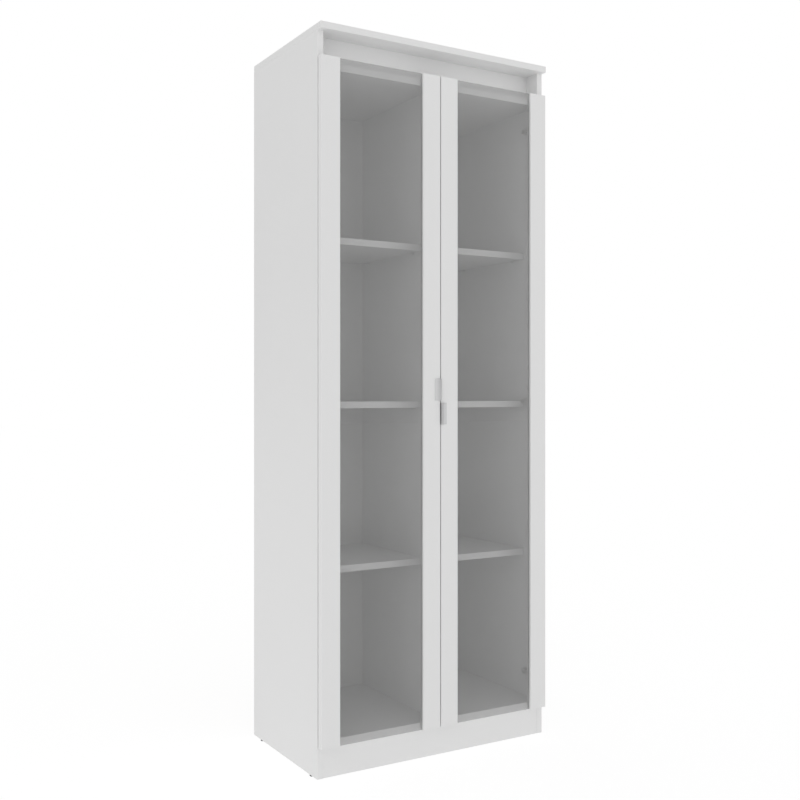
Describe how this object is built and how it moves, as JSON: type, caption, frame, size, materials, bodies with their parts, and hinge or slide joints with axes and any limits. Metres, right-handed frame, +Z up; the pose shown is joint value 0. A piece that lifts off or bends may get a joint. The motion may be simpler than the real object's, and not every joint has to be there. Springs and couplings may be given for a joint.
{
  "type": "bookcase with glass doors",
  "caption": "Tall white bookcase with full-height tinted glass doors in board stiles, shelved bays either side of a centre upright, edge pulls and a set-back frieze.",
  "frame": {"origin": "on the floor, under the middle of the whole object's box", "axes": "+X to the right seen from the front, +Y to the back (the doors face -Y), +Z up"},
  "size_m": [0.75, 0.453, 2],
  "materials": {
    "white_melamine": "satin white melamine facing on particle board, white banded edges",
    "hardboard": "thin hardboard, white faced inside and bare brown outside",
    "tinted_glass": "grey-tinted float glass, polished edges",
    "glazing_seal": "soft translucent glazing channel",
    "satin_aluminium": "satin grey metal",
    "nickel_plate": "nickel-plated pressed steel",
    "zinc_steel": "bright zinc-plated steel",
    "cast_zinc": "cast zinc, dull",
    "beech": "plain beech dowel",
    "black_plastic": "matt black moulded plastic"
  },
  "bodies": {
    "carcass": {"back_nails": "zinc_steel", "back_panel_left": "hardboard", "back_panel_right": "hardboard", "bottom_panel": "white_melamine", "cam_bolts": "zinc_steel", "cam_locks": "cast_zinc", "ceiling_panel": "white_melamine", "centre_divider": "white_melamine", "divider_screws": "zinc_steel", "dowels": "beech", "frieze_board": "white_melamine", "glides": "black_plastic", "hinge_arm_pins_left": "zinc_steel", "hinge_arm_pins_right": "zinc_steel", "hinge_arm_screws_left": "zinc_steel", "hinge_arm_screws_right": "zinc_steel", "hinge_arms_left": "nickel_plate", "hinge_arms_right": "nickel_plate", "hinge_plate_screws_left": "zinc_steel", "hinge_plate_screws_right": "zinc_steel", "hinge_plates_left": "nickel_plate", "hinge_plates_right": "nickel_plate", "plinth_front": "white_melamine", "shelf_left_1": "white_melamine", "shelf_left_2": "white_melamine", "shelf_left_3": "white_melamine", "shelf_pegs": "zinc_steel", "shelf_right_1": "white_melamine", "shelf_right_2": "white_melamine", "shelf_right_3": "white_melamine", "side_panel_left": "white_melamine", "side_panel_right": "white_melamine", "top_panel": "white_melamine"},
    "links_left": {"hinge_links_left": "nickel_plate"},
    "door_left": {"door_left_glass": "tinted_glass", "door_left_hinge_stile": "white_melamine", "door_left_meeting_stile": "white_melamine", "door_left_pull": "satin_aluminium", "door_left_pull_screws": "zinc_steel", "door_left_seals": "glazing_seal", "hinge_cup_pins_left": "zinc_steel", "hinge_cup_screws_left": "zinc_steel", "hinge_cups_left": "nickel_plate"},
    "links_right": {"hinge_links_right": "nickel_plate"},
    "door_right": {"door_right_glass": "tinted_glass", "door_right_hinge_stile": "white_melamine", "door_right_meeting_stile": "white_melamine", "door_right_pull": "satin_aluminium", "door_right_pull_screws": "zinc_steel", "door_right_seals": "glazing_seal", "hinge_cup_pins_right": "zinc_steel", "hinge_cup_screws_right": "zinc_steel", "hinge_cups_right": "nickel_plate"}
  },
  "joints": [
    {"name": "left_door_swing", "type": "hinge", "parent": "links_left", "child": "door_left", "pos_m": [-0.3594, -0.2063, 1], "axis": [0, 0, -1], "range_deg": [0, 130]},
    {"name": "left_hinge_links_turn", "type": "hinge", "parent": "carcass", "child": "links_left", "pos_m": [-0.3385, -0.209, 1], "axis": [0, 0, -1], "range_deg": [-38, 0]},
    {"name": "right_door_swing", "type": "hinge", "parent": "links_right", "child": "door_right", "pos_m": [0.3594, -0.2063, 1], "axis": [0, 0, 1], "range_deg": [0, 130]},
    {"name": "right_hinge_links_turn", "type": "hinge", "parent": "carcass", "child": "links_right", "pos_m": [0.3385, -0.209, 1], "axis": [0, 0, 1], "range_deg": [-38, 0]}
  ],
  "couplings": [
    {"joint": "left_hinge_links_turn", "follows": "left_door_swing", "ratio": -0.29157},
    {"joint": "right_hinge_links_turn", "follows": "right_door_swing", "ratio": -0.29157}
  ]
}
